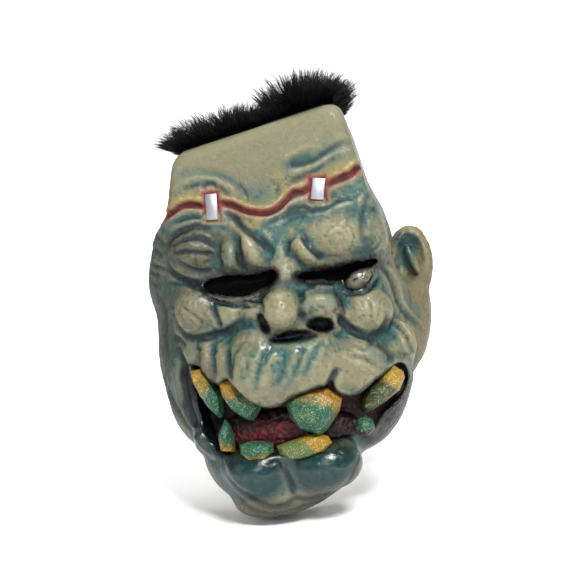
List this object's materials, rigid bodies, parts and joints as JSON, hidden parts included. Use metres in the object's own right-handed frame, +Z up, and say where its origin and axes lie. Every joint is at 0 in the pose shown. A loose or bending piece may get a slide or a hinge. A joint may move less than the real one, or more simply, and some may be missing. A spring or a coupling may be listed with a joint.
{
  "type": "latex halloween mask",
  "caption": "Front-and-sides latex monster mask with flat stitched forehead, open jagged mouth, ears, fur hair on the crown and a swinging elastic head strap.",
  "frame": {"origin": "centre of the space for the wearer's head, at eye level", "axes": "+Z up, towards the crown; -Y the way the face looks; +X the viewer's right"},
  "size_m": [0.2164, 0.2482, 0.3164],
  "materials": {
    "painted_latex": "matt latex with airbrushed teal and a thin uneven varnish",
    "tongue_latex": "dark maroon latex with a nubby surface",
    "tooth_enamel": "yellow-ochre faceted resin with green glitter at the tips",
    "staple_steel": "bright plated steel strip",
    "fur_backing_cloth": "knitted backing cloth",
    "black_fur": "black faux fur pile",
    "black_elastic": "flat woven elastic",
    "patch_cloth": "bonded cloth disc",
    "black_gauze": "fine black see-through gauze",
    "nickel": "nickel plated"
  },
  "bodies": {
    "mask": {"face_skin": "painted_latex", "eye_screen_left": "black_gauze", "eye_screen_right": "black_gauze", "tongue": "tongue_latex", "tooth_upper_left_outer": "tooth_enamel", "tooth_upper_left_inner": "tooth_enamel", "tooth_upper_right_big": "tooth_enamel", "tooth_upper_right_outer": "tooth_enamel", "tooth_lower_left_outer": "tooth_enamel", "tooth_lower_left_inner": "tooth_enamel", "tooth_lower_right_inner": "tooth_enamel", "tooth_lower_right_outer": "tooth_enamel", "staple_left": "staple_steel", "staple_right": "staple_steel", "fur_backing": "fur_backing_cloth", "fur_tuft_left": "black_fur", "fur_tuft_right": "black_fur", "patch_left": "patch_cloth", "patch_right": "patch_cloth", "rivet_left": "nickel", "rivet_right": "nickel"},
    "strap": {"elastic_band": "black_elastic", "washer_left": "nickel", "washer_right": "nickel"}
  },
  "joints": [
    {"name": "strap_swing", "type": "hinge", "parent": "mask", "child": "strap", "pos_m": [-0.004, 0.02, -0.028], "axis": [1, 0, 0], "range_deg": [-30, 40]}
  ]
}
